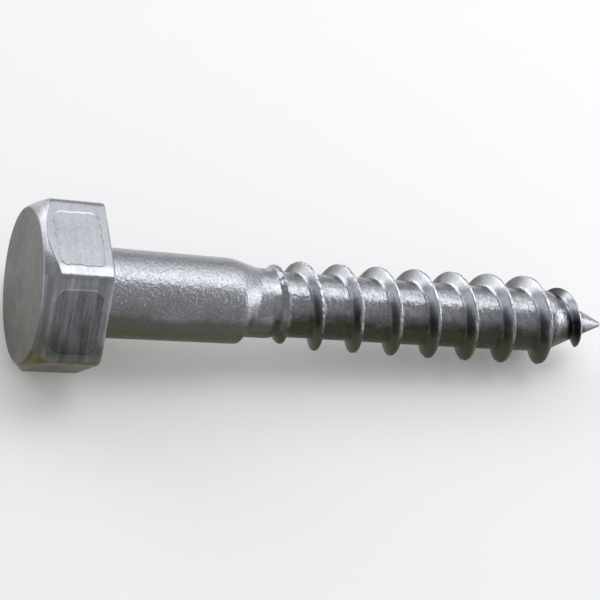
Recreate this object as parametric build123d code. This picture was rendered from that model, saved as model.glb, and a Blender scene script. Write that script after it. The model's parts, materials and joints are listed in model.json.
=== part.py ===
"""Hex head lag screw, 10 x 60 mm, with a coarse wood-screw thread and a gimlet point.

The whole screw is one forged and thread-rolled piece of steel, so it is one solid.  It is built
upright, with the bearing face of its head at z = 0, the head below it and the point above, and it
is then laid down the way it comes to rest: on one flat of the head and on a crest of its thread.
Lengths are millimetres and angles are degrees.
"""

import os
from math import atan2, ceil, cos, radians, sin, tan

from build123d import *

# Head
HEAD_ACROSS_FLATS = 16.4
HEAD_HEIGHT = 7.0
HEAD_CORNER_RADIUS = 1.0
FACE_DIAMETER = 15.6          # flat end face inside the chamfer
CHAMFER_ANGLE = 46.0          # slope of the chamfer, measured from the end face
BEARING_EDGE_BEVEL = 0.3

# Shank, measured along the screw from the bearing face of the head
LENGTH = 60.0                 # to the tip of the point
SHANK_DIAMETER = 9.3          # under the head
SHANK_END_DIAMETER = 8.95     # at the shoulder
SHANK_LENGTH = 15.2           # up to the shoulder
UNDER_HEAD_BEVEL = 0.4        # small cone that joins the shank to the bearing face
SHOULDER_LENGTH = 2.3         # rounded step down to the neck
NECK_DIAMETER = 7.5
NECK_LENGTH = 1.75

# Thread
THREAD_DIAMETER = 9.95        # over the last full crest
FIRST_CREST_DIAMETER = 9.4    # over the first one, from where the crests grow evenly
CORE_DIAMETER = 6.98
PITCH = 4.5
RUN_OUT_PITCH = 3.4           # the first turn, where the ridge rises, is drawn together
RUN_OUT_HEIGHT = 0.5          # height of that turn over the core
FLANK_ANGLE = 28.0            # each flank, measured from a plane across the screw
CREST_LAND = 0.2              # width of the flat on top of the ridge
THREAD_START_ANGLE = -60.0    # where the first full crest lies, from the flat that faces up
ROOT_OVERLAP = 0.3            # how far the ridge reaches into the core

# Point
POINT_LENGTH = 7.4
TIP_DIAMETER = 0.3            # the very tip is blunt
CREST_TAPER_LENGTH = 8.0      # the crests start to come down this far before the tip
POINT_THREAD_END = 3.4        # the ridge ends this far before the tip
FADE_TURNS = 0.35             # turns in which the ridge dies away at each end

SECTIONS_PER_TURN = 12

# Stations along the screw that follow from the sizes above
neck_start = SHANK_LENGTH + SHOULDER_LENGTH
thread_start = neck_start + NECK_LENGTH
first_full_crest = thread_start + RUN_OUT_PITCH
point_start = LENGTH - POINT_LENGTH
crest_taper_start = LENGTH - CREST_TAPER_LENGTH
thread_end = LENGTH - POINT_THREAD_END


def blend(low, high, position):
    """Go smoothly from low to high while position goes from 0 to 1."""
    share = min(max(position, 0.0), 1.0)
    return low + (high - low) * share * share * (3 - 2 * share)


def head():
    """Hexagonal head with rounded corners and a conical chamfer round its end face."""
    hexagon = RegularPolygon(HEAD_ACROSS_FLATS / 2, 6, major_radius=False, rotation=30)
    outline = fillet(hexagon.vertices(), HEAD_CORNER_RADIUS)
    prism = extrude(Plane.XY.offset(-HEAD_HEIGHT) * outline, HEAD_HEIGHT)
    corner_reach = HEAD_ACROSS_FLATS / 2 / cos(radians(30))
    cone_depth = (corner_reach - FACE_DIAMETER / 2) * tan(radians(CHAMFER_ANGLE))
    bevel_start = corner_reach - BEARING_EDGE_BEVEL
    envelope = Polyline(
        (0, -HEAD_HEIGHT),
        (FACE_DIAMETER / 2, -HEAD_HEIGHT),
        (corner_reach, -HEAD_HEIGHT + cone_depth),
        (corner_reach, -BEARING_EDGE_BEVEL * 2),
        (bevel_start, 0),
        (0, 0),
        close=True,
    )
    turned = revolve(Plane.XZ * make_face(envelope), Axis.Z)
    return prism & turned


def shaft():
    """Tapered shank, rounded shoulder, neck, threaded core and conical point, turned as one."""
    shank = SHANK_DIAMETER / 2
    shank_end = SHANK_END_DIAMETER / 2
    neck = NECK_DIAMETER / 2
    core = CORE_DIAMETER / 2
    tip = TIP_DIAMETER / 2
    base = (shank + UNDER_HEAD_BEVEL, 0)
    under_head = Line(base, (shank, UNDER_HEAD_BEVEL))
    plain = Line((shank, UNDER_HEAD_BEVEL), (shank_end, SHANK_LENGTH))
    shoulder = Spline(
        (shank_end, SHANK_LENGTH),
        (neck, neck_start),
        tangents=[(shank_end - shank, SHANK_LENGTH - UNDER_HEAD_BEVEL), (0, 1)],
    )
    neck_line = Line((neck, neck_start), (neck, thread_start))
    step = Line((neck, thread_start), (core, thread_start + neck - core))
    core_line = Line((core, thread_start + neck - core), (core, point_start))
    cone = Line((core, point_start), (tip, LENGTH))
    middle = Polyline((tip, LENGTH), (0, LENGTH), (0, 0), base)
    outline = Wire([*(under_head, plain, shoulder, neck_line, step, core_line, cone), *middle.edges()])
    return revolve(Plane.XZ * make_face(outline), Axis.Z)


def core_radius(station):
    """Radius of the core under the thread, along the point too."""
    core = CORE_DIAMETER / 2
    if station < point_start:
        return core
    return core * (LENGTH - station) / POINT_LENGTH


def station_of(turn):
    """Distance under the head of the ridge, with turn 0 at the first full crest."""
    return first_full_crest + turn * (PITCH if turn > 0 else RUN_OUT_PITCH)


def crest_radius(turn):
    """Radius of the crest: low in the run-out, then full, then coming down along the point."""
    station = station_of(turn)
    first = FIRST_CREST_DIAMETER / 2
    growth = (THREAD_DIAMETER / 2 - first) / (crest_taper_start - first_full_crest)
    full = first + growth * max(min(station, crest_taper_start) - first_full_crest, 0)
    low = CORE_DIAMETER / 2 + RUN_OUT_HEIGHT
    taper = (CORE_DIAMETER / 2) / POINT_LENGTH
    radius = blend(low, full, (turn + 0.5) / 0.5)
    return radius - max(station - crest_taper_start, 0) * taper


def ridge_section(turn, first_turn, last_turn):
    """Cross-section of the ridge in the half plane at one place along the thread."""
    station = station_of(turn)
    core = core_radius(station)
    base = core * (1 - ROOT_OVERLAP / (CORE_DIAMETER / 2))
    rise = min((turn - first_turn) / FADE_TURNS, (last_turn - turn) / FADE_TURNS)
    sunk = (base + core) / 2
    crest = blend(sunk, crest_radius(turn), rise)
    half_base = CREST_LAND / 2 + (crest - base) * tan(radians(FLANK_ANGLE))
    half_crest = CREST_LAND / 2
    angle = 360 * turn + THREAD_START_ANGLE
    plane = Plane.XZ.rotated((0, 0, angle))
    corners = [
        (base, station - half_base),
        (crest, station - half_crest),
        (crest, station + half_crest),
        (base, station + half_base),
    ]
    return plane * Wire.make_polygon([Vector(x, z, 0) for x, z in corners])


def thread():
    """Right-hand ridge of the thread, as lofts of about one turn each that meet end to end."""
    first_turn = (thread_start - first_full_crest) / RUN_OUT_PITCH
    last_turn = (thread_end - first_full_crest) / PITCH + FADE_TURNS
    lengths = ceil(last_turn - first_turn)
    steps = lengths * SECTIONS_PER_TURN
    turns = [first_turn + (last_turn - first_turn) * step / steps for step in range(steps + 1)]
    sections = [ridge_section(turn, first_turn, last_turn) for turn in turns]
    starts = range(0, steps, SECTIONS_PER_TURN)
    return [Solid.make_loft(sections[start:start + SECTIONS_PER_TURN + 1]) for start in starts]


def resting_plane():
    """Plane that lays the upright screw on a flat of its head and on a crest of its thread."""
    drop = HEAD_ACROSS_FLATS / 2 - THREAD_DIAMETER / 2
    slope = atan2(drop, crest_taper_start - PITCH / 2)
    along = Vector(cos(slope), 0, -sin(slope))
    upward = Vector(sin(slope), 0, cos(slope))
    return Plane(origin=(0, 0, 0), x_dir=upward, z_dir=along)


def on_the_floor(laid):
    """Move that puts the floor at z = 0 and the origin under the middle of the screw."""
    box = laid.bounding_box()
    middle = box.center()
    return Pos(-middle.X, -middle.Y, -box.min.Z)


def lag_screw():
    """The whole screw as one solid, at rest."""
    laid = resting_plane().location * (head() + shaft() + thread())
    return on_the_floor(laid) * laid


if __name__ == "__main__":
    os.makedirs("parts", exist_ok=True)
    screw = lag_screw()
    screw.label = "lag_screw"
    export_step(screw, "parts/lag_screw.step")
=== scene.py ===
"""Dresses the lag screw: its detailed steel mesh, its finish, and a plain stage to see it on.

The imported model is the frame.  The screw is shaped upright in its own space, with the bearing
face of the head at z = 0 and the point upwards, and is then laid where the frame's mounts say.
"""

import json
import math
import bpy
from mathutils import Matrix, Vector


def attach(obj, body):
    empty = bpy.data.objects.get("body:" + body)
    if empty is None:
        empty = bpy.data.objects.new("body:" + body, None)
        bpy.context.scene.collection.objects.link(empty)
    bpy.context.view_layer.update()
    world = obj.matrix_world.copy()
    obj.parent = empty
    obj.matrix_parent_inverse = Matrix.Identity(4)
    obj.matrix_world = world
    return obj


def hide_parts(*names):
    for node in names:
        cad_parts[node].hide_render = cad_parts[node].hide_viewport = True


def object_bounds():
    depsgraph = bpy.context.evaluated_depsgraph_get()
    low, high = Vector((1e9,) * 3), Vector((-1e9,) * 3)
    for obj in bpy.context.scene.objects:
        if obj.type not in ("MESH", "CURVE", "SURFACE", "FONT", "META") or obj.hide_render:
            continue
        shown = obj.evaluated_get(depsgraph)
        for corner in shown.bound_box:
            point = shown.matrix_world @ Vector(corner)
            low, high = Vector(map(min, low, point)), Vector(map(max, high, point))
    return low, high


bl_info = {
    "name": "Lag Screw",
    "version": (1, 0, 0),
    "blender": (4, 5, 0),
    "location": "View3D > Sidebar > Lag Screw",
    "description": "Builds a hex head lag screw with a rolled thread, and a stage for it",
    "category": "Object",
}

from types import SimpleNamespace
from typing import NamedTuple

import bpy
import numpy as np
from mathutils import Matrix, Vector

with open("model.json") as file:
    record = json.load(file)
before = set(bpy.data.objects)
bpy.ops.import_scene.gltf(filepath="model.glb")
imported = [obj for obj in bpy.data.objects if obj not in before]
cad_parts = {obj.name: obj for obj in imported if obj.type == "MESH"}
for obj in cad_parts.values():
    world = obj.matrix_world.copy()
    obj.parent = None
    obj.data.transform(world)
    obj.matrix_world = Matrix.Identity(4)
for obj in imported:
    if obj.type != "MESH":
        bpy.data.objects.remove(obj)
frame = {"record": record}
cad_low, cad_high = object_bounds()

MM = 0.001
NODE = "lag_screw"
FULL_TURN = 2 * math.pi
SIXTH_TURN = math.radians(60)


# Sizes, colours and stage settings -----------------------------------------------------------

def size(name, description, millimetres):
    """Property for one length, given here in millimetres."""
    return bpy.props.FloatProperty(
        name=name, description=description, default=millimetres * MM, unit="LENGTH", precision=5
    )


def plain(name, description, value):
    """Property for a plain number."""
    return bpy.props.FloatProperty(name=name, description=description, default=value)


def tilt(name, description, degrees):
    """Property for an angle, given here in degrees."""
    return bpy.props.FloatProperty(
        name=name, description=description, default=math.radians(degrees), subtype="ANGLE"
    )


def tint(name, description, value):
    """Property for a linear colour."""
    return bpy.props.FloatVectorProperty(
        name=name, description=description, default=value, subtype="COLOR", size=3
    )


class LagScrewHead(bpy.types.PropertyGroup):
    """Sizes of the hexagonal head."""

    across_flats: size("Across flats", "Distance between two opposite flats", 16.4)
    height: size("Height", "From the bearing face to the end face", 7.0)
    corner: size("Corner radius", "Rounding of the six upright corners", 1.0)
    face_diameter: size("Face diameter", "End face inside the chamfer", 15.8)
    dome: size("Dome", "How far the end face bulges in its middle", 0.06)
    lean: size("Lean", "How far the rim of the end face lies off square, to either side", 0.12)
    lean_angle: tilt("Lean direction", "Where the rim comes lowest, from the upper flat", 30)
    trim: size("Trim", "From the rim of the end face down to the middle of a flat", 0.5)
    chamfer: tilt("Chamfer", "Slope of the chamfer from the end face", 38)
    edge: size("Edge radius", "Rounding of the chamfer's edges", 0.28)
    bearing_edge: size("Bearing edge radius", "Rounding of the bearing side", 0.22)
    sharp_corner: size("Sharp corner radius", "Rounding of the one corner that is rolled over", 0.4)
    rolled_width: size("Rolled-over width", "Of the strip beside that corner", 1.1)
    rolled_tilt: tilt("Rolled-over tilt", "Of that strip, from the upper flat", 11)
    off_centre: size("Off centre", "How far the forged head sits off the shank's axis", 0.2)
    off_angle: tilt("Off-centre direction", "From the upper flat", -52)


class LagScrewShank(bpy.types.PropertyGroup):
    """Sizes of the plain shank and the neck."""

    reach: size("Length", "From the bearing face to the tip", 60)
    diameter: size("Diameter", "Under the head", 9.3)
    end_diameter: size("End diameter", "At the shoulder", 8.95)
    plain: size("Plain length", "Up to the shoulder", 15.25)
    fillet: size("Fillet", "Radius under the head", 0.5)
    shoulder: size("Shoulder", "Length of the step down to the neck", 2.0)
    shoulder_skew: size("Shoulder skew", "How far the step runs askew round the shank", 0.71)
    skew_angle: tilt("Skew direction", "Where the step comes last, from the upper flat", 128)
    neck_diameter: size("Neck diameter", "Between shoulder and thread", 7.4)
    neck: size("Neck length", "Up to the thread", 2.0)
    bend: size("Bend", "How far the point lies off the axis, upwards", 0.2)


class LagScrewThread(bpy.types.PropertyGroup):
    """Sizes of the rolled thread and the gimlet point."""

    first_diameter: size("First diameter", "Over the first full crest", 9.4)
    crest_diameter: size("Crest diameter", "Over the last full crest", 9.95)
    core_diameter: size("Core diameter", "At the root of the thread", 6.92)
    pitch: size("Pitch", "From crest to crest", 4.5)
    run_out_pitch: size("Run-out pitch", "Pitch of the first, rising turn", 3.4)
    first_rise: size("First rise", "Pitch of the very first part of the ridge", 2.6)
    run_out_height: size("Run-out height", "Of the first turn over the core", 0.72)
    last_stretch: size("Last stretch", "Lengthening of the last turn", 0.25)
    land: size("Crest land", "Width of the top of the ridge", 0.2)
    flank: tilt("Flank", "Each flank, from a plane across the screw", 24.5)
    root_blend: size("Root blend", "Rounding between flank and core", 0.3)
    crest_rounding: size("Crest rounding", "Rounding of the crest's two edges", 0.16)
    start_angle: tilt("Start angle", "First full crest, from the upper flat", -64)
    point: size("Point length", "Cone of the gimlet point", 7.4)
    tip: size("Tip radius", "Rounding of the very tip", 0.36)
    crest_taper: size("Crest taper", "Crests come down this far before the tip", 8.0)
    end: size("Thread end", "The ridge ends this far before the tip", 3.4)


class LagScrewWear(bpy.types.PropertyGroup):
    """Marks that forging and rolling left in the shape."""

    seam: size("Seam", "Depth of the seam that is rolled into the crest", 0.07)
    chips: size("Chips", "Depth of the chips along the crest", 0.12)
    torn: plain("Torn", "How many times deeper the chips are in the run-out", 2.0)
    sway: size("Sway", "How far the crest of the run-out wanders sideways", 0.3)
    dents: size("Dents", "Depth of the dents in the root", 0.03)
    uneven: size("Unevenness", "Of the forged surfaces", 0.03)


class LagScrewSteel(bpy.types.PropertyGroup):
    """Finish of the steel, with its painted shade, painted reflection and painted highlight."""

    bright: tint("Bright steel", "Rolled and drawn surfaces", (0.425, 0.432, 0.46))
    dull: tint("Dull steel", "Forged end face", (0.218, 0.212, 0.199))
    # Worn steel for the crests, laid on where they face up: real wear and partly a painted highlight
    worn: tint("Worn steel", "Crests of the thread", (0.72, 0.715, 0.72))
    # The next four tints darken all that faces down as painted shade, deeper in the root, and turn
    # it brown underneath and on the lower flats as a painted reflection
    painted_shade: tint("Film", "Tint of the dull film on the lower half", (0.24, 0.258, 0.2))
    underside_reflection_tint: tint("Underside", "Tint of the film underneath", (0.25, 0.23, 0.12))
    root_shade_tint: tint("Film in the root", "Further tint of the film there", (0.5, 0.53, 0.44))
    flats_reflection_tint: tint("Film on the flats", "Further tint of the film underneath", (1.0, 0.84, 0.5))
    roughness: plain("Roughness", "Of the bright steel", 0.28)


class LagScrewStage(bpy.types.PropertyGroup):
    """Camera, floor and lights."""

    azimuth: tilt("Azimuth", "Of the camera, from the front towards the point", -29.7)
    elevation: tilt("Elevation", "Of the camera over the floor", 47.91)
    roll: tilt("Roll", "Lean of the camera about its line of sight", -24.35)
    distance: size("Distance", "From the camera to what it looks at", 195.03)
    lens: plain("Lens", "Focal length in millimetres, on a 36 mm sensor", 109.31)
    floor: tint("Floor", "Plain floor", (0.86, 0.855, 0.85))
    floor_side: size("Floor side", "Side of the square floor", 6000)
    glow: plain("Glow", "Light that the floor gives off", 0.15)
    lamps: tint("Lamps", "Light of the soft boxes", (0.97, 0.98, 1.0))
    studio: tint("Studio", "Light from all round", (0.33, 0.335, 0.345))


# Meshes as grids -----------------------------------------------------------------------------

COLUMNS = 228                 # columns round the screw
FACE_ROWS = 20
CHAMFER_ROWS = 7
FLAT_ROWS = 20
BEARING_ROWS = 8
ARC_ROWS = 4                  # on each rounded turn of the head's outline
FILLET_ROWS = 6
SHANK_ROWS = 36
SHOULDER_ROWS = 10
CONE_ROWS = 5
TIP_ROWS = 8
OFF_RIDGE = 1.0               # metres across: far wider than a ridge, for points not on one

# Rows across the ridge, as distances from its crest in shares of the pitch: sparse on the core,
# close on the flanks, closest on the crest
RIDGE_ROWS = np.concatenate([
    np.linspace(-0.65, -0.27, 5),
    [-0.225, -0.2, -0.18, -0.16, -0.135, -0.1, -0.065],
    [-0.042, -0.027, -0.013, 0.0, 0.013, 0.027, 0.042],
    [0.065, 0.1, 0.135, 0.16, 0.18, 0.2, 0.225],
    [0.27, 0.35],
])


class Blank:
    """Collects grids of points, each with what the thread rolling needs to know about it."""

    FIELDS = ("turn", "across", "zone_head", "zone_face")

    def __init__(self):
        self.points = []
        self.faces = []
        self.fields = {name: [] for name in self.FIELDS}
        self.count = 0

    def add_grid(self, angles, radii, heights, shift=None, **fields):
        """Add a grid; angles, radii and heights are arrays of rows by columns.

        shift is a distance, a direction and the radius of the bearing face's still middle.
        """
        rows, columns = radii.shape
        points = np.stack([radii * np.cos(angles), radii * np.sin(angles), heights], -1)
        if shift:
            distance, direction, still = shift
            in_head = heights < -0.2 * still
            share = np.where(in_head, 1.0, smooth((radii - still) / (0.4 * still)))
            points[..., 0] += distance * math.cos(direction) * share
            points[..., 1] += distance * math.sin(direction) * share
        self.points.append(points.reshape(-1, 3))
        for name in self.FIELDS:
            values = np.broadcast_to(fields.get(name, 0.0), radii.shape)
            self.fields[name].append(values.reshape(-1))
        index = np.arange(rows * columns).reshape(rows, columns) + self.count
        corners = (index[:-1, :-1], index[:-1, 1:], index[1:, 1:], index[1:, :-1])
        self.faces.append(np.stack(corners, -1).reshape(-1, 4))
        self.count += rows * columns

    def mesh(self, name):
        """The grids as one mesh, still open where they meet."""
        mesh = bpy.data.meshes.new(name)
        mesh.from_pydata(np.concatenate(self.points), [], np.concatenate(self.faces).tolist())
        for field, values in self.fields.items():
            attribute = mesh.attributes.new(field, "FLOAT", "POINT")
            attribute.data.foreach_set("value", np.concatenate(values).astype(np.float32))
        return mesh


def smooth(value):
    """Smooth step from 0 to 1."""
    share = np.clip(value, 0.0, 1.0)
    return share * share * (3 - 2 * share)


# Outline of the screw, upright ---------------------------------------------------------------

# Turns along the thread count from the first full crest
RIDGE_START = -1.35
FIRST_RISE_END = -0.45        # up to here the ridge follows the pitch of its first rise
RIDGE_OVERRUN = 0.25          # turns that the ridge goes on past the end of the thread

SHOULDER_SHORTENING = 1.9     # the step is shorter where it comes late, in shares of its skew
SHOULDER_POWER = 1.4          # how round the step starts
SHOULDER_POWER_SHARE = 0.7    # the rest of the step is a smooth one
CORE_STEP = 1.2 * MM          # length of the step from the neck to the core

# Corners of the head, counted from the upper flat
SHARP_CORNER = 0
BATTERED_CORNERS = (1, 2)
BATTERED_WEAR = 1.0           # added to the rounding at the bearing face, as a share of it
CORNER_WEAR = 0.25
CORNER_WEAR_REACH = 2.5 * MM


class Outline:
    """Radii and stations of the upright screw, worked out from its sizes."""

    def __init__(self, head, shank, thread):
        self.head = head
        self.shank = shank
        self.thread = thread
        self.neck_start = shank.plain + shank.shoulder
        self.thread_start = self.neck_start + shank.neck
        self.first_full = self.thread_start + thread.run_out_pitch
        self.point_start = shank.reach - thread.point
        self.first_turn = RIDGE_START
        self.full_turns = (shank.reach - thread.crest_taper - self.first_full) / thread.pitch
        end = (shank.reach - thread.end - self.first_full) / thread.pitch + RIDGE_OVERRUN
        self.last_turn = self.first_turn + round((end - self.first_turn) * COLUMNS) / COLUMNS

    def station(self, turn):
        """Distance from the bearing face to the crest, which has turn 0 where it is first full."""
        turn = np.asarray(turn)
        pitch = np.where(turn > 0, self.thread.pitch, self.thread.run_out_pitch)
        stretch = self.thread.last_stretch * smooth(turn - self.full_turns + 0.5)
        slower = self.thread.first_rise - self.thread.run_out_pitch
        first_rise = np.minimum(turn - FIRST_RISE_END, 0) * slower
        return self.first_full + turn * pitch + stretch + first_rise

    def angle(self, turn):
        """Direction of the crest round the screw, from the flat that faces up."""
        return self.thread.start_angle + FULL_TURN * turn

    def shaft_radius(self, station, direction):
        """Radius of the screw without its ridge; direction is the angle round it."""
        shank, thread = self.shank, self.thread
        core, neck = thread.core_diameter / 2, shank.neck_diameter / 2
        slope = (shank.end_diameter - shank.diameter) / 2 / shank.plain
        plain_part = shank.diameter / 2 + slope * np.minimum(station, self.neck_start)
        fillet_part = np.clip(shank.fillet - station, 0, shank.fillet)
        plain_part = plain_part + shank.fillet - np.sqrt(shank.fillet**2 - fillet_part**2)
        skew = np.cos(direction - shank.skew_angle) * shank.shoulder_skew
        shoulder = shank.shoulder - SHOULDER_SHORTENING * skew
        share = np.clip((station - shank.plain - skew) / shoulder, 0.0, 1.0)
        rounded = SHOULDER_POWER_SHARE * share**SHOULDER_POWER
        step = rounded + (1 - SHOULDER_POWER_SHARE) * smooth(share)
        radius = plain_part + (neck - plain_part) * step
        radius = radius + (core - neck) * smooth((station - self.thread_start) / CORE_STEP)
        cone_end = shank.reach - thread.tip
        cone_share = (station - self.point_start) / (cone_end - self.point_start)
        cone = core + (thread.tip - core) * cone_share
        nose = np.sqrt(np.clip(thread.tip**2 - np.clip(station - cone_end, 0, None)**2, 0, None))
        return np.where(station > cone_end, nose, np.minimum(radius, cone))

    def hexagon_radius(self, direction, depth):
        """Radius of the hexagon with its rounded corners; depth is 0 at the bearing face."""
        head = self.head
        flat = head.across_flats / 2
        from_corner = np.mod(direction, SIXTH_TURN) - SIXTH_TURN / 2
        corner = np.floor(np.mod(direction, FULL_TURN) / SIXTH_TURN)
        wear = np.where(np.isin(corner, BATTERED_CORNERS), BATTERED_WEAR, CORNER_WEAR)
        worn = wear * smooth(1 - depth / CORNER_WEAR_REACH)
        rounding = np.where(corner == SHARP_CORNER, head.sharp_corner, head.corner) * (1 + worn)
        centre = (flat - rounding) / math.cos(SIXTH_TURN / 2)
        sine = centre * np.sin(from_corner)
        arc = centre * np.cos(from_corner) + np.sqrt(np.clip(rounding**2 - sine**2, 0, None))
        straight = flat / np.cos(SIXTH_TURN / 2 - np.abs(from_corner))
        reach = np.arctan2(rounding / 2, centre + rounding * math.cos(SIXTH_TURN / 2))
        radius = np.where(np.abs(from_corner) < reach, arc, straight)
        # the strip of the upper flat that is rolled over towards the sharp corner
        strip_start = flat * math.tan(SIXTH_TURN / 2) - head.rolled_width
        strip = flat * math.cos(head.rolled_tilt) + strip_start * math.sin(head.rolled_tilt)
        facing = np.cos(direction - head.rolled_tilt)
        facing_strip = math.cos(SIXTH_TURN)
        planed = np.minimum(radius, strip / np.maximum(facing, facing_strip))
        return np.where(facing > facing_strip, planed, radius)


def rounded_path(corners, radii, rows):
    """Path through corners of (radius, height) with rounded turns, as points by columns.

    corners is a list of (radius, height) arrays, one value a column; radii holds the rounding of
    each inner corner, and rows the number of points on each straight stretch.
    """
    path = []
    start = np.stack(corners[0], -1)
    for number, rounding in enumerate(radii):
        corner = np.stack(corners[number + 1], -1)
        after = np.stack(corners[number + 2], -1)
        before = np.stack(corners[number], -1)
        incoming = corner - before
        incoming = incoming / np.linalg.norm(incoming, axis=-1, keepdims=True)
        outgoing = after - corner
        outgoing = outgoing / np.linalg.norm(outgoing, axis=-1, keepdims=True)
        turn = np.arccos(np.clip((incoming * outgoing).sum(-1), -1, 1))[:, None]
        reach = rounding * np.tan(turn / 2)
        arc_start = corner - incoming * reach
        arc_end = corner + outgoing * reach
        for share in np.linspace(0, 1, rows[number], endpoint=False):
            path.append(start + (arc_start - start) * share)
        for share in np.linspace(0, 1, ARC_ROWS, endpoint=False):
            # quadratic curve through the corner's control point, close to a circular arc
            path.append(
                arc_start * (1 - share)**2 + corner * 2 * share * (1 - share) + arc_end * share**2
            )
        start = arc_end
    end = np.stack(corners[-1], -1)
    for share in np.linspace(0, 1, rows[-1]):
        path.append(start + (end - start) * share)
    return np.stack(path)


def head_grid(blank, outline):
    """End face, chamfer, flats and bearing face of the head."""
    head, shank = outline.head, outline.shank
    turns = np.linspace(outline.first_turn, outline.first_turn + 1, COLUMNS + 1)
    angles = outline.angle(turns)
    face = head.face_diameter / 2
    nothing = np.zeros_like(angles)
    flank = outline.hexagon_radius(angles, head.height)
    flank_at_bearing = outline.hexagon_radius(angles, 0.0)
    lean = head.lean * np.cos(angles - head.lean_angle)
    rim = lean + head.dome - head.height
    chamfer_end = rim + head.trim + (flank - head.across_flats / 2) * math.tan(head.chamfer)
    corners = [
        (nothing, nothing - head.height),
        (nothing + face, rim),
        (flank, chamfer_end),
        (flank_at_bearing, nothing),
        (nothing + shank.diameter / 2 + shank.fillet, nothing),
    ]
    path = rounded_path(
        corners,
        (head.edge, head.edge, head.bearing_edge),
        (FACE_ROWS, CHAMFER_ROWS, FLAT_ROWS, BEARING_ROWS),
    )
    radii, heights = path[..., 0], path[..., 1]
    rows = np.arange(len(path))[:, None] + 0 * angles
    inside = rows < FACE_ROWS
    share = radii / face
    heights = np.where(inside, head.dome * share**2 + lean * share - head.height, heights)
    on_flats = (heights > chamfer_end) & (radii > face)
    radii = np.where(on_flats, np.minimum(radii, outline.hexagon_radius(angles, -heights)), radii)
    blank.add_grid(
        np.broadcast_to(angles, radii.shape), radii, heights,
        shift=(head.off_centre, head.off_angle, shank.diameter / 2 + shank.fillet),
        across=OFF_RIDGE,
        zone_head=1.0,
        zone_face=np.where(rows <= FACE_ROWS, 1.0, 0.0),
    )


def shaft_grids(blank, outline):
    """Shank, neck, threaded length and point."""
    shank = outline.shank
    first, last = outline.first_turn, outline.last_turn
    shares = RIDGE_ROWS - RIDGE_ROWS[0]
    round_once = np.linspace(0, 1, COLUMNS + 1)

    def add(turns, stations, **fields):
        """Add a grid whose columns lie at these turns and whose points at these stations."""
        angles = outline.angle(turns)[None, :] + 0 * stations
        blank.add_grid(angles, outline.shaft_radius(stations, angles), stations, **fields)

    def add_rings(stations, start_turn):
        """Add plain rings at these stations."""
        add(start_turn + round_once, stations[:, None] + 0 * round_once, across=OFF_RIDGE)

    # shank and shoulder up to where the ridge's rows begin
    rows_start = float(outline.station(first + RIDGE_ROWS[0]))
    fillet = shank.fillet * (1 - np.cos(np.linspace(0, math.pi / 2, FILLET_ROWS)))
    straight = np.linspace(shank.fillet, shank.plain, SHANK_ROWS)[1:]
    shoulder = np.linspace(shank.plain, rows_start, SHOULDER_ROWS)[1:]
    add_rings(np.concatenate([fillet, straight, shoulder]), first)

    # wedge between the last ring and the first turn of the ridge's rows
    turn = first + RIDGE_ROWS[0] + shares[:, None] * round_once
    add(first + round_once, outline.station(turn), across=OFF_RIDGE)

    # the ridge's rows, wound round the screw
    turns = np.linspace(first, last, round((last - first) * COLUMNS) + 1)
    stations = outline.station(turns + RIDGE_ROWS[:, None])
    add(turns, stations, turn=turns, across=stations - outline.station(turns))

    # wedge between the last turn and the first ring of the tip, then the tip
    turn = last + RIDGE_ROWS[0] + round_once + (1 - round_once) * shares[:, None]
    add(last + round_once, outline.station(turn), across=OFF_RIDGE)
    rows_end = float(outline.station(last + RIDGE_ROWS[-1]))
    cone_end = shank.reach - outline.thread.tip
    cone = np.linspace(rows_end, cone_end, CONE_ROWS)[:-1]
    nose = cone_end + outline.thread.tip * np.sin(np.linspace(0, math.pi / 2, TIP_ROWS))
    add_rings(np.concatenate([cone, nose]), last)


# Node trees ----------------------------------------------------------------------------------

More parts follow.
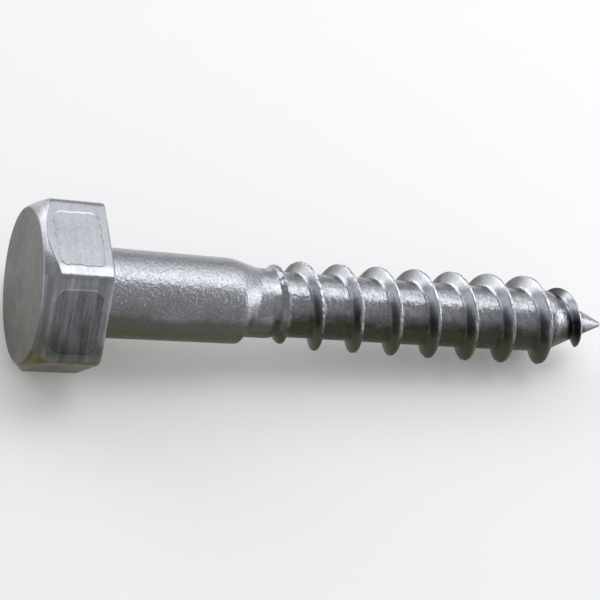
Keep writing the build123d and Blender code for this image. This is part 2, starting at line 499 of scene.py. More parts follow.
class Maths:
    """Writes arithmetic as nodes of one tree, from sockets and plain numbers."""

    def __init__(self, tree):
        self.tree = tree

    def node(self, kind, inputs=(), **settings):
        """Add a node, with its settings and its inputs by name or number."""
        node = self.tree.nodes.new(kind)
        for name, value in settings.items():
            setattr(node, name, value)
        for key, value in dict(inputs).items():
            self.feed(node.inputs[key], value)
        return node

    def feed(self, socket, value):
        """Link a socket, or set its plain value."""
        if isinstance(value, bpy.types.NodeSocket):
            self.tree.links.new(value, socket)
        else:
            socket.default_value = value

    def do(self, operation, *values):
        """One scalar operation."""
        return self.node("ShaderNodeMath", enumerate(values), operation=operation).outputs[0]

    def add(self, *values):
        """Sum of all the values."""
        total = values[0]
        for value in values[1:]:
            total = self.do("ADD", total, value)
        return total

    def times(self, *values):
        """Product of all the values."""
        product = values[0]
        for value in values[1:]:
            product = self.do("MULTIPLY", product, value)
        return product

    def minus(self, left, right):
        """Difference of two values."""
        return self.do("SUBTRACT", left, right)

    def at_least(self, value, limit=0.0):
        """The value, but no less than the limit."""
        return self.do("MAXIMUM", value, limit)

    def hypotenuse(self, left, right):
        """Root of the sum of two squares."""
        return self.do("SQRT", self.add(self.times(left, left), self.times(right, right)))

    def ramp(self, value, low, high, to_low=0.0, to_high=1.0):
        """Smooth step from to_low to to_high while the value goes from low to high."""
        node = self.node("ShaderNodeMapRange", interpolation_type="SMOOTHSTEP")
        for name, number in (("Value", value), ("From Min", low), ("From Max", high),
                             ("To Min", to_low), ("To Max", to_high)):
            self.feed(node.inputs[name], number)
        return node.outputs["Result"]

    def noise(self, vector, scale, detail, roughness):
        """Noise from 0 to 1."""
        node = self.node("ShaderNodeTexNoise", {
            "Vector": vector, "Scale": scale, "Detail": detail, "Roughness": roughness,
        })
        return node.outputs["Fac"]

    def parts(self, vector):
        """X, Y and Z of a vector."""
        return self.node("ShaderNodeSeparateXYZ", {0: vector}).outputs

    def vector(self, *parts):
        """Vector from its parts."""
        return self.node("ShaderNodeCombineXYZ", enumerate(parts)).outputs[0]

    def scaled(self, vector, factor):
        """Vector or colour times a number."""
        inputs = {0: vector, "Scale": factor}
        return self.node("ShaderNodeVectorMath", inputs, operation="SCALE").outputs[0]

    def named(self, name):
        """A value that is stored on the mesh's points, for a geometry tree."""
        node = self.node("GeometryNodeInputNamedAttribute", {"Name": name}, data_type="FLOAT")
        return node.outputs[0]

    def stored(self, geometry, name, value):
        """The geometry with a value stored on its points."""
        inputs = {"Geometry": geometry, "Name": name, "Value": value}
        kind = "GeometryNodeStoreNamedAttribute"
        return self.node(kind, inputs, data_type="FLOAT", domain="POINT").outputs[0]


def new_tree(name, kind, inputs, outputs):
    """Empty node group with its sockets; inputs are (name, socket type, default)."""
    tree = bpy.data.node_groups.new(name, kind)
    for label, socket_type, default in inputs:
        socket = tree.interface.new_socket(label, in_out="INPUT", socket_type=socket_type)
        if default is not None:
            socket.default_value = default
    for label, socket_type in outputs:
        tree.interface.new_socket(label, in_out="OUTPUT", socket_type=socket_type)
    return tree


# The rolled thread ---------------------------------------------------------------------------

# Stretches of the thread, in turns from the first full crest
CREST_RISES = (-0.55, 0.0)
CREST_TORN = (-0.3, -0.6)     # torn ever deeper towards the start
RIDGE_LEANS = (-0.3, -0.05)   # leans up to the first, stands upright from the second
FLANKS_FORMED = (-0.35, 0.1)
ROOT_FORMED = (-0.9, -0.6)
ROLLED_FROM = (-1.0, -0.95)
RIDGE_SWELLS = (0.1, 0.4)     # after its first turn
RIDGE_DIES = (0.02, 0.3)      # before its last turn
PINCHED_FROM = (1.15, 0.85)   # before its last turn
PINCHED_TO = (0.3, 0.45)

# Noises that shape the steel: scale per metre, detail and roughness
CHIP_NOISE = (1300.0, 3.0, 0.65)
SWAY_NOISE = (900.0, 3.0, 0.6)
SEAM_NOISE = (420.0, 2.0, 0.5)
DENT_NOISE = (900.0, 2.0, 0.6)
UNEVEN_NOISE = (380.0, 1.5, 0.5)

# Values of those noises between which a chip, a seam or a dent comes out in full
CHIPS_SHOW = (0.45, 0.7)
SEAM_SHOWS = (0.42, 0.6)
DENTS_SHOW = (0.45, 0.3)

STEADINESS = 0.9              # a whole crest is spared this much of the sway
SEAM_WIDTH = 0.35             # to either side of the crest, in shares of its land
LONGER_RISE = 1.25            # added to the leaning ridge's flank towards the head, as a share
SHORTER_DROP = -0.25          # and to its flank towards the point
FLANK_MIDDLE = 0.6 * MM       # from the crest, where a curved flank is as high as a straight one
FLANK_CURVE = 0.08            # how much the flanks bulge
SUNK = 2 * MM                 # depth of the ridge under the surface where it has died away
ROOT_HEIGHT = (0.06 * MM, 0.005 * MM)
ROLLED_EVEN = 0.7             # share of the unevenness that rolling took away, but in the root
BENT_STRETCH = (38 * MM, 56 * MM)
TINY = 1e-6                   # metres: closer points are welded, and no radius counts as less

# The valley before the last turn is pinched, and is darkened there as painted shade, except towards
# the upper side
PINCH_BEGINS = (-1.8 * MM, -0.8 * MM)
PINCH_STOPS = (0.0, -0.12 * MM)
PINCH_SIDE = (1.02, 0.78)     # in shares of the radius


class OnThread:
    """Where a point lies on the upright screw and on its thread, as fields of a tree."""

    def __init__(self, m, given):
        self.position = m.node("GeometryNodeInputPosition").outputs[0]
        self.upper, self.side, self.station = m.parts(self.position)
        self.radius = m.hypotenuse(self.upper, self.side)
        self.turn = m.named("turn")
        self.across = m.named("across")
        self.is_ridge = m.do("LESS_THAN", m.do("ABSOLUTE", self.across), OFF_RIDGE / 2)
        self.torn = m.ramp(self.turn, *CREST_TORN, 1.0, given["Torn"])
        wander = m.minus(m.noise(self.position, *SWAY_NOISE), 0.5)
        sway = m.times(wander, given["Sway"], m.minus(self.torn, STEADINESS))
        self.from_crest = m.do("ABSOLUTE", m.add(self.across, sway))
        # 1 along the thread, and down to 0 where the ridge begins and where it ends
        self.presence = m.times(
            m.ramp(m.minus(self.turn, given["First Turn"]), *RIDGE_SWELLS),
            m.ramp(m.minus(given["Last Turn"], self.turn), *RIDGE_DIES),
        )


def crest_radius(m, given, at):
    """Radius of the crest: low in the run-out, then full, then coming down along the point."""
    crest = m.ramp(at.turn, *CREST_RISES, given["Run-out Radius"], given["Crest Radius"])
    crest = m.add(crest, m.times(m.at_least(at.turn), given["Crest Growth"]))
    past_taper = m.at_least(m.minus(at.station, given["Taper Start"]))
    return m.minus(crest, m.times(past_taper, given["Taper Slope"]))


def worn_crest_radius(m, given, at, crest):
    """Radius of the crest with its chips and the seam that is rolled into it."""
    chips = m.ramp(m.noise(at.position, *CHIP_NOISE), *CHIPS_SHOW)
    seam = m.times(
        m.ramp(at.from_crest, m.times(given["Land"], SEAM_WIDTH), 0.0),
        m.ramp(m.noise(at.position, *SEAM_NOISE), *SEAM_SHOWS),
        given["Seam Depth"],
    )
    return m.minus(m.minus(crest, m.times(chips, given["Chip Depth"], at.torn)), seam)


def flank_radius(m, given, at, crest):
    """Radius of the flanks, which in the run-out rise slowly and drop steeply to the point."""
    beside = m.at_least(m.minus(at.from_crest, m.times(given["Land"], 0.5)))
    lean = m.ramp(at.turn, *RIDGE_LEANS, 1.0, 0.0)
    towards_head = m.do("LESS_THAN", at.across, 0.0)
    leaning = m.add(m.times(towards_head, LONGER_RISE - SHORTER_DROP), SHORTER_DROP)
    slope = m.times(given["Flank Slope"], m.add(1.0, m.times(lean, leaning)))
    curve = m.do("POWER", m.do("DIVIDE", beside, FLANK_MIDDLE), FLANK_CURVE)
    return m.minus(crest, m.times(m.do("DIVIDE", beside, slope), curve))


def raised_radius(m, given, at):
    """Radius of the screw with the ridge on it, rounded at its crest and at its root."""
    crest = crest_radius(m, given, at)
    flanks = flank_radius(m, given, at, crest)
    worn_crest = worn_crest_radius(m, given, at, crest)
    ridge = m.do("SMOOTH_MIN", flanks, worn_crest, given["Crest Rounding"])
    sunk = m.times(m.minus(1.0, at.presence), m.minus(at.radius, SUNK))
    ridge = m.add(m.times(ridge, at.presence), sunk)
    return m.do("SMOOTH_MAX", ridge, at.radius, given["Root Blend"])


def ridge_masks(m, given, at, raised):
    """Masks of the ridge that the finish reads, by name."""
    above_core = m.minus(raised, at.radius)
    high = m.ramp(above_core, 0.0, m.minus(given["Crest Radius"], at.radius))
    near_crest = m.ramp(at.from_crest, given["Land"], m.times(given["Land"], 0.5))
    root = m.times(at.is_ridge, m.ramp(above_core, *ROOT_HEIGHT), m.ramp(at.turn, *ROOT_FORMED))
    formed = m.times(at.is_ridge, m.ramp(at.turn, *FLANKS_FORMED))
    before_end = m.minus(given["Last Turn"], at.turn)
    # the pinched valley before the last turn, where the finish paints shade
    pinched = m.times(
        m.ramp(before_end, *PINCHED_FROM),
        m.ramp(before_end, *PINCHED_TO),
        m.ramp(at.across, *PINCH_BEGINS),
        m.ramp(at.across, *PINCH_STOPS),
        m.ramp(at.upper, *(m.times(at.radius, share) for share in PINCH_SIDE)),
    )
    return {
        "crest": m.times(high, near_crest, at.presence, at.is_ridge),
        "root": root,
        "rolled": m.times(at.is_ridge, m.ramp(at.turn, *ROLLED_FROM)),
        "flank": m.times(formed, m.minus(1.0, root), at.presence),
        "pinched": m.times(at.is_ridge, pinched),
    }


def surface_push(m, given, at):
    """How far the forged unevenness and the dents in the root move the surface outwards."""
    root, rolled = m.named("root"), m.named("rolled")
    dents = m.ramp(m.noise(at.position, *DENT_NOISE), *DENTS_SHOW)
    uneven = m.minus(m.noise(at.position, *UNEVEN_NOISE), 0.5)
    share = m.minus(1.0, m.times(rolled, m.minus(ROLLED_EVEN, root)))
    return m.minus(
        m.times(uneven, given["Grain Depth"], share),
        m.times(dents, root, given["Dent Depth"]),
    )


def rolled_thread_tree():
    """Geometry nodes that weld the blank and raise the ridge of the thread on it."""
    sizes = (
        "Crest Radius", "Crest Growth", "Run-out Radius", "Land", "Crest Rounding", "Flank Slope",
        "Root Blend", "Taper Start", "Taper Slope", "First Turn", "Last Turn", "Bend",
        "Seam Depth", "Chip Depth", "Torn", "Sway", "Dent Depth", "Grain Depth",
    )
    tree = new_tree("Rolled thread", "GeometryNodeTree", [
        ("Blank", "NodeSocketGeometry", None),
        *((label, "NodeSocketFloat", 0.0) for label in sizes),
        ("Material", "NodeSocketMaterial", None),
    ], [("Screw", "NodeSocketGeometry")])
    m = Maths(tree)
    given = m.node("NodeGroupInput").outputs
    at = OnThread(m, given)
    raised = raised_radius(m, given, at)
    grow = m.do("DIVIDE", raised, m.at_least(at.radius, TINY))
    rolled = m.node("GeometryNodeSetPosition", {
        "Geometry": given["Blank"],
        "Selection": at.is_ridge,
        "Position": m.vector(m.times(at.upper, grow), m.times(at.side, grow), at.station),
    }).outputs[0]
    for name, mask in ridge_masks(m, given, at, raised).items():
        rolled = m.stored(rolled, name, mask)
    welded = m.node("GeometryNodeMergeByDistance", {"Geometry": rolled, "Distance": TINY}).outputs[0]

    # unevenness and dents along the surface's own normals, and the bend of the whole
    normal = m.node("GeometryNodeInputNormal").outputs[0]
    bend = m.vector(m.times(given["Bend"], m.ramp(at.station, *BENT_STRETCH)))
    pushed = m.scaled(normal, surface_push(m, given, at))
    offset = m.node("ShaderNodeVectorMath", {0: pushed, 1: bend}, operation="ADD").outputs[0]
    uneven = m.node("GeometryNodeSetPosition", {"Geometry": welded, "Offset": offset}).outputs[0]

    # how far each place faces up where the screw lies: 1 straight up, -1 straight down
    from_axis = m.do("DIVIDE", at.upper, m.add(at.radius, 0.01 * MM))
    upward = m.times(m.add(m.parts(normal)[0], from_axis), 0.5)
    marked = m.stored(uneven, "upward", upward)
    smoothed = m.node("GeometryNodeSetShadeSmooth", {"Geometry": marked, "Shade Smooth": True})
    real = m.node("GeometryNodeRealizeInstances", {"Geometry": smoothed.outputs[0]})
    finished = m.node("GeometryNodeSetMaterial", {
        "Geometry": real.outputs[0], "Material": given["Material"],
    })
    m.node("NodeGroupOutput", {0: finished.outputs[0]})
    return tree


def thread_inputs(outline, wear, material):
    """Values of the thread tree's inputs, by name."""
    shank, thread = outline.shank, outline.thread
    growth = (thread.crest_diameter - thread.first_diameter) / 2 / outline.full_turns
    return {
        "Crest Radius": thread.first_diameter / 2,
        "Crest Growth": growth,
        "Run-out Radius": thread.core_diameter / 2 + thread.run_out_height,
        "Land": thread.land,
        "Crest Rounding": thread.crest_rounding,
        "Flank Slope": math.tan(thread.flank),
        "Root Blend": thread.root_blend,
        "Taper Start": shank.reach - thread.crest_taper,
        "Taper Slope": thread.core_diameter / 2 / thread.point,
        "First Turn": outline.first_turn,
        "Last Turn": outline.last_turn,
        "Bend": shank.bend,
        "Seam Depth": wear.seam,
        "Chip Depth": wear.chips,
        "Torn": wear.torn,
        "Sway": wear.sway,
        "Dent Depth": wear.dents,
        "Grain Depth": wear.uneven,
        "Material": material,
    }


def set_inputs(modifier, values):
    """Set a modifier's inputs, which are known by the sockets' identifiers."""
    sockets = modifier.node_group.interface.items_tree
    identifiers = {socket.name: socket.identifier for socket in sockets}
    for name, value in values.items():
        modifier[identifiers[name]] = value


# Placing -------------------------------------------------------------------------------------

def resting_matrix(head):
    """Matrix from the upright space to the frame, from the mounts on the head."""
    mounts = {mount["name"]: mount for mount in frame["record"]["mounts"]}
    along = Vector(mounts["under_head"]["axis"]).normalized()
    origin = Vector(mounts["head_end"]["pos_m"]) + along * head.height
    upward = Vector(mounts["under_head"]["pos_m"]) - origin
    upward = (upward - along * upward.dot(along)).normalized()
    sideways = along.cross(upward)
    turned = Matrix((upward, sideways, along)).transposed().to_4x4()
    return Matrix.Translation(origin) @ turned


# Steel ---------------------------------------------------------------------------------------

MICROMETRE = 1e-6


class Marks(NamedTuple):
    """One set of uneven marks in the steel."""

    place: str                # coordinates that the noise is read from
    scale: float              # per metre
    depth: float              # in micrometres
    low: float                # the marks come out between these two values of the noise
    high: float
    detail: float
    zones: dict               # where they are cut, and how deep there, as a share


# The scores were left on the flats by the die, the ragged marks only move the edge of its
# panels, and the clouds are only seen as a change of tone
MARKS = {
    "grain": Marks("drawn", 4000, 24, 0.25, 0.75, 3, dict(shank=1, flats=0.12, face=0.25, root=0.4)),
    "wave": Marks("upright", 900, 7, 0.2, 0.8, 2, dict(shank=0.6, root=0.4)),
    "dent": Marks("upright", 1700, 18, 0.3, 0.7, 3, dict(root=1)),
    "rolling": Marks("rolled", 3200, 14, 0.3, 0.7, 3, dict(root=1)),
    "forged": Marks("upright", 1150, 22, 0.25, 0.75, 4, dict(face=1)),
    "speck": Marks("upright", 5200, 26, 0.58, 0.8, 1, dict(shank=1, root=0.5)),
    "nick": Marks("upright", 2300, 80, 0.35, 0.65, 2, dict(crest=1)),
    "score": Marks("scored", 1500, 13, 0.35, 0.68, 3, dict(flats=1)),
    "ragged": Marks("upright", 1400, 250, 0, 1, 2, {}),
    "cloud": Marks("upright", 330, 0, 0.3, 0.7, 4, {}),
}
MARK_ROUGHNESS = 0.55
SCORE_STRETCH = 0.05          # a coordinate that is shrunk draws the marks out along it
DRAWN_STRETCH = 0.65
ROLLED_STRETCH = 0.2
SCORE_STEP = 0.37             # keeps the scores of one flat apart from the next one's

# Trimmed panel on each flat
PANEL_OFF_MIDDLE = 0.15 * MM
PANEL_RIM = 1.38 * MM         # left untrimmed beside the panel
PANEL_CORNER = 0.9 * MM
PANEL_EDGE = 0.12 * MM        # half the width of the slope down to the panel
PANEL_MIDDLE = 0.452          # from the bearing face, in shares of the head's height
PANEL_HALF_LENGTH = 0.328

# How far a flat faces up, where its look changes
UPPER_FLAT = 0.95
RISING_FLAT = 0.6
SIDE_FLAT = 0.55
RIM_HEIGHTS = (18 * MICROMETRE, 45 * MICROMETRE)

# Tone, as a factor on the colour, and how strongly each thing changes it
PLAIN_TONE = 0.93
GRAIN_TONE = 0.16
SCORE_TONES = (0.1, 0.6)      # on the upper flat and on a side flat
RIM_TONES = (0.0, 0.35)
ROOT_TONE = 0.22
ROLLING_SHARE = 0.6           # of the marks of rolling in the root's tone, next to the dents
CLOUD_TONE = 0.08
FACE_CLOUD_TONE = 0.22
FLANK_TONE = 0.12
# Painted highlight on the upper side of the flanks
UPPER_FLANK_HIGHLIGHT = 0.4
UPPER_FLANK = (0.5, 0.75)
# Painted shade in the pinched valley before the last turn
PINCH_SHADE_TONE = 0.85
UNNICKED_TONE = 0.45

# Painted shade and painted brown reflection on all that faces down, and the painted highlight on the
# crests, by how far a surface faces up
PAINTED_SHADE_LINE = 0.46              # the painted shade lies below this
ROOT_SHADE_RISE = 0.1
CLOUD_SHADE_RISE = 0.15
PAINTED_SHADE_GROWS = (0.2, -0.24)
PAINTED_REFLECTION_GROWS = (-0.35, -0.62)
FACE_SPARED_SHADE = 0.8
CREST_HIGHLIGHT_FACING = (-0.15, 0.45)

# What makes the steel rougher
ROUGHER_ZONES = {"face": 0.2, "root": -0.03, "crest": 0.12}
WAVE_ROUGHNESS = 0.08
PAINTED_SHADE_ROUGHNESS = 0.06


def marks_group():
    """Shader group: uneven marks of forging or rolling, as a height and as a mask."""
    scalar = "NodeSocketFloat"
    tree = new_tree("Worked marks", "ShaderNodeTree", [
        ("Vector", "NodeSocketVector", None),
        ("Scale", scalar, 1000.0),
        ("Detail", scalar, 2.0),
        ("Depth", scalar, 0.0),
        ("Low", scalar, 0.0),
        ("High", scalar, 1.0),
    ], [("Height", scalar), ("Mask", scalar)])
    m = Maths(tree)
    given = m.node("NodeGroupInput").outputs
    noise = m.noise(given["Vector"], given["Scale"], given["Detail"], MARK_ROUGHNESS)
    mask = m.ramp(noise, given["Low"], given["High"])
    height = m.times(m.minus(mask, 0.5), given["Depth"])
    m.node("NodeGroupOutput", {"Height": height, "Mask": mask})
    return tree


def flat_space_group():
    """Shader group: place on the six flats of the head, from a point in the upright space."""
    scalar = "NodeSocketFloat"
    labels = ("Along", "Sideways", "Flat", "Radius", "Round")
    tree = new_tree("Place on the flats", "ShaderNodeTree", [
        ("Vector", "NodeSocketVector", None),
    ], [(label, scalar) for label in labels])
    m = Maths(tree)
    upper, side, along = m.parts(m.node("NodeGroupInput").outputs["Vector"])
    angle = m.do("ARCTAN2", side, upper)
    number = m.do("ROUND", m.do("DIVIDE", angle, SIXTH_TURN))
    folded = m.minus(angle, m.times(number, SIXTH_TURN))
    radius = m.hypotenuse(upper, side)
    m.node("NodeGroupOutput", {
        "Along": along,
        "Sideways": m.times(radius, m.do("SINE", folded)),
        "Flat": number,
        "Radius": radius,
        "Round": m.times(radius, angle),
    })
    return tree


def steel_zones(m):
    """Masks of the parts of the screw that are worked in their own way."""
    names = ("crest", "root", "rolled", "flank", "pinched", "upward", "zone_head", "zone_face")
    zones = SimpleNamespace()
    for name in names:
        attribute = m.node("ShaderNodeAttribute", attribute_name=name)
        setattr(zones, name.removeprefix("zone_"), attribute.outputs["Fac"])
    zones.flats = m.at_least(m.minus(zones.head, zones.face))
    zones.shank = m.at_least(m.minus(m.minus(1.0, zones.head), zones.rolled))
    return zones


def steel_places(m, placing):
    """Coordinates on the upright screw that the marks are read from."""
    space = m.node("ShaderNodeMapping", vector_type="TEXTURE")
    space.inputs["Location"].default_value = placing.translation
    space.inputs["Rotation"].default_value = placing.to_euler()
    m.feed(space.inputs["Vector"], m.node("ShaderNodeTexCoord").outputs["Object"])
    upright = space.outputs["Vector"]
    on_flats = m.node("ShaderNodeGroup", {"Vector": upright}, node_tree=flat_space_group()).outputs
    along, radius, around = on_flats["Along"], on_flats["Radius"], on_flats["Round"]
    scores = m.times(on_flats["Sideways"], SCORE_STRETCH)
    return {
        "upright": upright,
        "along": along,
        "sideways": on_flats["Sideways"],
        "scored": m.vector(along, scores, m.times(on_flats["Flat"], SCORE_STEP)),
        "drawn": m.vector(m.times(around, DRAWN_STRETCH), radius, along),
        "rolled": m.vector(m.times(around, ROLLED_STRETCH), radius, along),
    }


def steel_marks(m, places):
    """Heights and masks of all the sets of marks, by name."""
    group = marks_group()
    heights, masks = {}, {}
    for name, marks in MARKS.items():
        node = m.node("ShaderNodeGroup", {
            "Vector": places[marks.place],
            "Scale": marks.scale,
            "Detail": marks.detail,
            "Depth": marks.depth * MICROMETRE,
            "Low": marks.low,
            "High": marks.high,
        }, node_tree=group)
        heights[name] = node.outputs["Height"]
        masks[name] = node.outputs["Mask"]
    return heights, masks


def panel_rim(m, head, places, ragged):
    """Mask of the untrimmed rim round the panel on each flat."""
    half_width = head.across_flats / 2 * math.tan(SIXTH_TURN / 2) - PANEL_RIM
    middle, half_length = head.height * PANEL_MIDDLE, head.height * PANEL_HALF_LENGTH
    sideways = m.do("ABSOLUTE", m.minus(places["sideways"], PANEL_OFF_MIDDLE))
    lengthways = m.do("ABSOLUTE", m.add(places["along"], middle))
    past_side = m.at_least(m.add(m.minus(sideways, half_width), PANEL_CORNER))
    past_end = m.at_least(m.add(m.minus(lengthways, half_length), PANEL_CORNER))
    outside = m.minus(m.hypotenuse(past_side, past_end), PANEL_CORNER)
    return m.ramp(m.add(outside, ragged), -PANEL_EDGE, PANEL_EDGE)


def steel_relief(m, zones, heights, rim):
    """Height of all the marks together, each where it belongs, and of the panels' rims."""
    layers = []
    for name, marks in MARKS.items():
        for zone, share in marks.zones.items():
            layers.append(m.times(heights[name], getattr(zones, zone), share))
    rim_height = m.ramp(zones.upward, RISING_FLAT, UPPER_FLAT, *RIM_HEIGHTS)
    return m.add(*layers, m.times(rim, rim_height, zones.flats))


def steel_tone(m, zones, masks, rim):
    """How light the steel is, as a factor on its colour, with a painted highlight on the flanks
    where they face up and painted shade in the valley before the last turn.
    """
    score_strength = m.ramp(zones.upward, UPPER_FLAT, SIDE_FLAT, *SCORE_TONES)
    rim_strength = m.ramp(zones.upward, UPPER_FLAT, SIDE_FLAT, *RIM_TONES)
    hammered = m.minus(m.add(masks["dent"], m.times(masks["rolling"], ROLLING_SHARE)), 1.5)
    cloud_strength = m.add(m.times(zones.face, FACE_CLOUD_TONE), CLOUD_TONE)
    tone = m.add(
        PLAIN_TONE,
        m.times(m.minus(masks["grain"], 0.5), GRAIN_TONE),
        m.times(m.minus(masks["score"], 0.8), zones.flats, score_strength),
        m.times(hammered, m.times(zones.root, ROOT_TONE)),
        m.times(rim, zones.flats, rim_strength),
        m.times(m.minus(masks["cloud"], 0.5), cloud_strength),
    )
    # The flanks are a little lighter all over, and lighter still where they face up, which is a
    # painted highlight
    lit = m.add(FLANK_TONE, m.ramp(zones.upward, *UPPER_FLANK, 0.0, UPPER_FLANK_HIGHLIGHT))
    # darkened in the pinched valley as painted shade, and on the crests between their nicks
    return m.times(
        m.add(tone, m.times(zones.flank, lit)),
        m.minus(1.0, m.times(zones.pinched, PINCH_SHADE_TONE)),
        m.minus(1.0, m.times(zones.crest, m.minus(1.0, masks["nick"]), UNNICKED_TONE)),
    )


def painted_shade_masks(m, zones, cloud):
    """Masks of the painted shade on all that faces down, and of the painted brown reflection
    underneath.
    """
    in_root = m.times(zones.root, ROOT_SHADE_RISE)
    in_cloud = m.times(m.minus(cloud, 0.5), CLOUD_SHADE_RISE)
    below_shade_line = m.minus(zones.upward, m.add(PAINTED_SHADE_LINE, in_root, in_cloud))
    off_face = m.minus(1.0, m.times(zones.face, FACE_SPARED_SHADE))
    painted_shade = m.times(m.ramp(below_shade_line, *PAINTED_SHADE_GROWS), off_face)
    return painted_shade, m.ramp(below_shade_line, *PAINTED_REFLECTION_GROWS)


def steel_colour(m, steel, zones, nick, painted_shade, painted_reflection):
    """Colour of the bare steel, worn and lighter where its crests face up as a painted highlight,
    under the painted shade and painted brown reflection.
    """

    def mixed(share, first, second, blend="MIX"):
        """Two colours mixed; one that isn't a socket is a plain colour."""
        node = m.node("ShaderNodeMix", data_type="RGBA", blend_type=blend)
        m.feed(node.inputs[0], share)
        for socket, colour in zip(node.inputs[6:8], (first, second)):
            m.feed(socket, colour if isinstance(colour, bpy.types.NodeSocket) else (*colour, 1.0))
        return node.outputs[2]

    bare = mixed(zones.face, steel.bright, steel.dull)
    # Crests are worn, and lighter where they face up, which is a painted highlight
    worn_crest_highlight = m.times(zones.crest, m.ramp(zones.upward, *CREST_HIGHLIGHT_FACING), nick)
    colour = mixed(worn_crest_highlight, bare, steel.worn)
    # Painted shade on all that faces down, brown further down as a painted reflection, deeper in the
    # root as painted shade, and browner on the lower flats as a painted reflection
    colour = mixed(painted_shade, colour, mixed(painted_reflection, steel.painted_shade, steel.underside_reflection_tint), "MULTIPLY")
    colour = mixed(m.times(painted_shade, zones.root), colour, steel.root_shade_tint, "MULTIPLY")
    return mixed(m.times(painted_reflection, zones.flats), colour, steel.flats_reflection_tint, "MULTIPLY")


def steel_roughness(m, steel, zones, wave, painted_shade):
    """Roughness, a little higher where the steel is forged or nicked, and where shade is painted on.
    """
    return m.add(
        steel.roughness,
        m.times(m.minus(wave, 0.5), WAVE_ROUGHNESS),
        *(m.times(getattr(zones, zone), change) for zone, change in ROUGHER_ZONES.items()),
        m.times(painted_shade, PAINTED_SHADE_ROUGHNESS),
    )


def steel_material(steel, head, placing):
    """Steel with a grainy shank, a dented thread, scored flats and a dull end face."""
    material = bpy.data.materials.new("bright_steel")
    material.use_nodes = True
    m = Maths(material.node_tree)
    zones = steel_zones(m)
    places = steel_places(m, placing)
    heights, masks = steel_marks(m, places)
    rim = panel_rim(m, head, places, heights["ragged"])
    painted_shade, painted_reflection = painted_shade_masks(m, zones, masks["cloud"])
    relief = steel_relief(m, zones, heights, rim)
    bump = m.node("ShaderNodeBump", {"Height": relief, "Distance": 1.0, "Strength": 1.0})
    colour = steel_colour(m, steel, zones, masks["nick"], painted_shade, painted_reflection)
    tone = steel_tone(m, zones, masks, rim)
    shader = material.node_tree.nodes["Principled BSDF"].inputs
    m.feed(shader["Metallic"], 1.0)
    m.feed(shader["Base Color"], m.scaled(colour, tone))
    m.feed(shader["Roughness"], steel_roughness(m, steel, zones, masks["wave"], painted_shade))
    m.feed(shader["Normal"], bump.outputs["Normal"])
    return material


# Operators -----------------------------------------------------------------------------------

class LAGSCREW_OT_screw(bpy.types.Operator):
    """Shape the screw and lay it in its place."""

    bl_idname = "lagscrew.screw"
    bl_label = "Screw"

    def execute(self, context):
        scene = context.scene
        head = scene.lag_screw_head
        outline = Outline(head, scene.lag_screw_shank, scene.lag_screw_thread)
        placing = resting_matrix(head)
        material = steel_material(scene.lag_screw_steel, head, placing)
        blank = Blank()
        head_grid(blank, outline)
        shaft_grids(blank, outline)
        shaped = bpy.data.objects.new("screw_blank", blank.mesh("screw_blank"))
        scene.collection.objects.link(shaped)
        modifier = shaped.modifiers.new("Rolled thread", "NODES")
        modifier.node_group = rolled_thread_tree()
        set_inputs(modifier, thread_inputs(outline, scene.lag_screw_wear, material))
        graph = context.evaluated_depsgraph_get()
        mesh = bpy.data.meshes.new_from_object(shaped.evaluated_get(graph))
        bpy.data.objects.remove(shaped)
        mesh.name = "screw"
        mesh.transform(placing)
        mesh.materials.clear()
        mesh.materials.append(material)
        screw = bpy.data.objects.new("screw", mesh)
        scene.collection.objects.link(screw)
        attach(screw, "root")
        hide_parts(NODE)
        return {"FINISHED"}


# Stage ---------------------------------------------------------------------------------------

# What the camera looks at, from the middle of the screw
LOOK_AT = Vector((-2.65, 1.27, -2.37)) * MM
SENSOR_WIDTH = 36.0           # millimetres
NEAREST_VIEW = 0.01

def aim(source, target, roll=0.0):
    """Rotation that points -Z of a camera or lamp from source to target."""
    facing = (target - source).to_track_quat("-Z", "Y").to_matrix().to_4x4()
    return Matrix.Translation(source) @ facing @ Matrix.Rotation(roll, 4, "Z")


# Soft boxes: azimuth from the back towards the point and elevation, both in degrees, then
# distance and extent in metres, and brightness
LAMPS = (
    ("overhead", 62, 64, 0.5, (0.38, 0.24), 2.6),
    ("behind", 12, 48, 0.55, (0.60, 0.22), 1.15),
    ("behind low", 12, 25, 0.6, (0.60, 0.30), 0.25),
    ("head side", -45, 17, 0.6, (0.38, 0.50), 2.05),
    ("point side", 94, 20, 0.6, (0.36, 0.32), 2.8),
    ("point end", 66, 31, 0.6, (0.56, 0.24), 0.65),
    ("front", 122, 42, 0.6, (0.50, 0.50), 0.12),
)


def direction_to(azimuth, elevation, ahead):
    """Unit vector; azimuth turns from +Y or -Y, as ahead says, towards the point (+X)."""
    return Vector((
        math.sin(azimuth) * math.cos(elevation),
        ahead * math.cos(azimuth) * math.cos(elevation),
        math.sin(elevation),
    ))


def add_camera(scene, stage):
    """Camera in front of the screw."""
    data = bpy.data.cameras.new("camera")
    data.lens = stage.lens
    data.sensor_width = SENSOR_WIDTH
    data.clip_start = NEAREST_VIEW
    camera = bpy.data.objects.new("camera", data)
    scene.collection.objects.link(camera)
    target = (cad_low + cad_high) / 2 + LOOK_AT
    away = direction_to(stage.azimuth, stage.elevation, -1) * stage.distance
    camera.matrix_world = aim(target + away, target, -stage.roll)
    scene.camera = camera


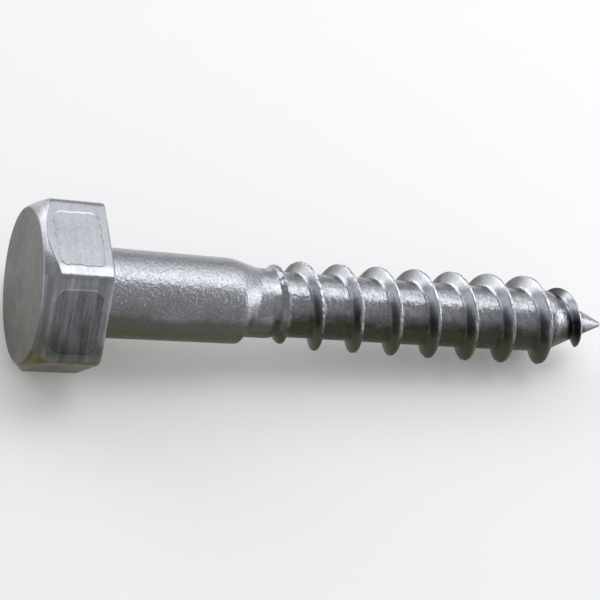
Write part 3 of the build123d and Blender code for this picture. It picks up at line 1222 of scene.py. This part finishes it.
def floor_material(stage):
    """Plain matt floor, lit evenly where it is looked at."""
    material = bpy.data.materials.new("floor")
    material.use_nodes = True
    m = Maths(material.node_tree)
    rays = m.node("ShaderNodeLightPath").outputs
    seen = m.do("MAXIMUM", rays["Is Camera Ray"], rays["Is Glossy Ray"])
    seen = m.do("MAXIMUM", seen, rays["Is Transmission Ray"])
    shader = material.node_tree.nodes["Principled BSDF"].inputs
    m.feed(shader["Base Color"], (*stage.floor, 1.0))
    m.feed(shader["Roughness"], 0.9)
    m.feed(shader["Specular IOR Level"], 0.1)
    m.feed(shader["Emission Color"], (1.0, 1.0, 1.0, 1.0))
    m.feed(shader["Emission Strength"], m.times(seen, stage.glow))
    return material


def add_floor(scene, stage):
    """Square floor at z = 0."""
    reach = stage.floor_side / 2
    corners = [(-reach, -reach, 0), (reach, -reach, 0), (reach, reach, 0), (-reach, reach, 0)]
    mesh = bpy.data.meshes.new("floor")
    mesh.from_pydata(corners, [], [(0, 1, 2, 3)])
    mesh.materials.append(floor_material(stage))
    floor = bpy.data.objects.new("floor", mesh)
    scene.collection.objects.link(floor)


def add_lights(scene, stage):
    """Even light from all round and the soft boxes."""
    world = bpy.data.worlds.new("studio")
    world.use_nodes = True
    background = world.node_tree.nodes["Background"]
    background.inputs["Color"].default_value = (*stage.studio, 1.0)
    scene.world = world
    for name, azimuth, elevation, distance, (width, height), brightness in LAMPS:
        lamp = bpy.data.lights.new(name, "AREA")
        lamp.shape = "RECTANGLE"
        lamp.size = width
        lamp.size_y = height
        lamp.energy = brightness * math.pi * width * height
        lamp.color = stage.lamps
        holder = bpy.data.objects.new(name, lamp)
        scene.collection.objects.link(holder)
        place = direction_to(math.radians(azimuth), math.radians(elevation), 1) * distance
        # all look at the middle of the screw, but the overhead one looks straight across it
        target = Vector((place.x, 0, 0)) if name == "overhead" else Vector((0, 0, 0))
        holder.matrix_world = aim(place, target)


class LAGSCREW_OT_stage(bpy.types.Operator):
    """Lay the floor and set the camera and the lights."""

    bl_idname = "lagscrew.stage"
    bl_label = "Stage"

    def execute(self, context):
        scene = context.scene
        stage = scene.lag_screw_stage
        add_camera(scene, stage)
        add_floor(scene, stage)
        add_lights(scene, stage)
        scene.view_settings.view_transform = "Standard"
        return {"FINISHED"}


# Panel and registration ----------------------------------------------------------------------

class LAGSCREW_PT_panel(bpy.types.Panel):
    """Lists the steps that build the screw."""

    bl_idname = "LAGSCREW_PT_panel"
    bl_label = "Lag Screw"
    bl_space_type = "VIEW_3D"
    bl_region_type = "UI"
    bl_category = "Lag Screw"

    def draw(self, context):
        for operator in OPERATORS:
            self.layout.operator(operator.bl_idname)


GROUPS = {
    "lag_screw_head": LagScrewHead,
    "lag_screw_shank": LagScrewShank,
    "lag_screw_thread": LagScrewThread,
    "lag_screw_wear": LagScrewWear,
    "lag_screw_steel": LagScrewSteel,
    "lag_screw_stage": LagScrewStage,
}
OPERATORS = (LAGSCREW_OT_screw, LAGSCREW_OT_stage)


def register():
    """Register the property groups, the operators and the panel."""
    for name, group in GROUPS.items():
        bpy.utils.register_class(group)
        setattr(bpy.types.Scene, name, bpy.props.PointerProperty(type=group))
    for item in (*OPERATORS, LAGSCREW_PT_panel):
        bpy.utils.register_class(item)


def unregister():
    """Remove what register added."""
    for item in (LAGSCREW_PT_panel, *reversed(OPERATORS)):
        bpy.utils.unregister_class(item)
    for name, group in reversed(GROUPS.items()):
        delattr(bpy.types.Scene, name)
        bpy.utils.unregister_class(group)


def main():
    """Build the screw and its stage."""
    register()
    bpy.ops.lagscrew.screw()
    bpy.ops.lagscrew.stage()


if __name__ == "__main__":
    main()
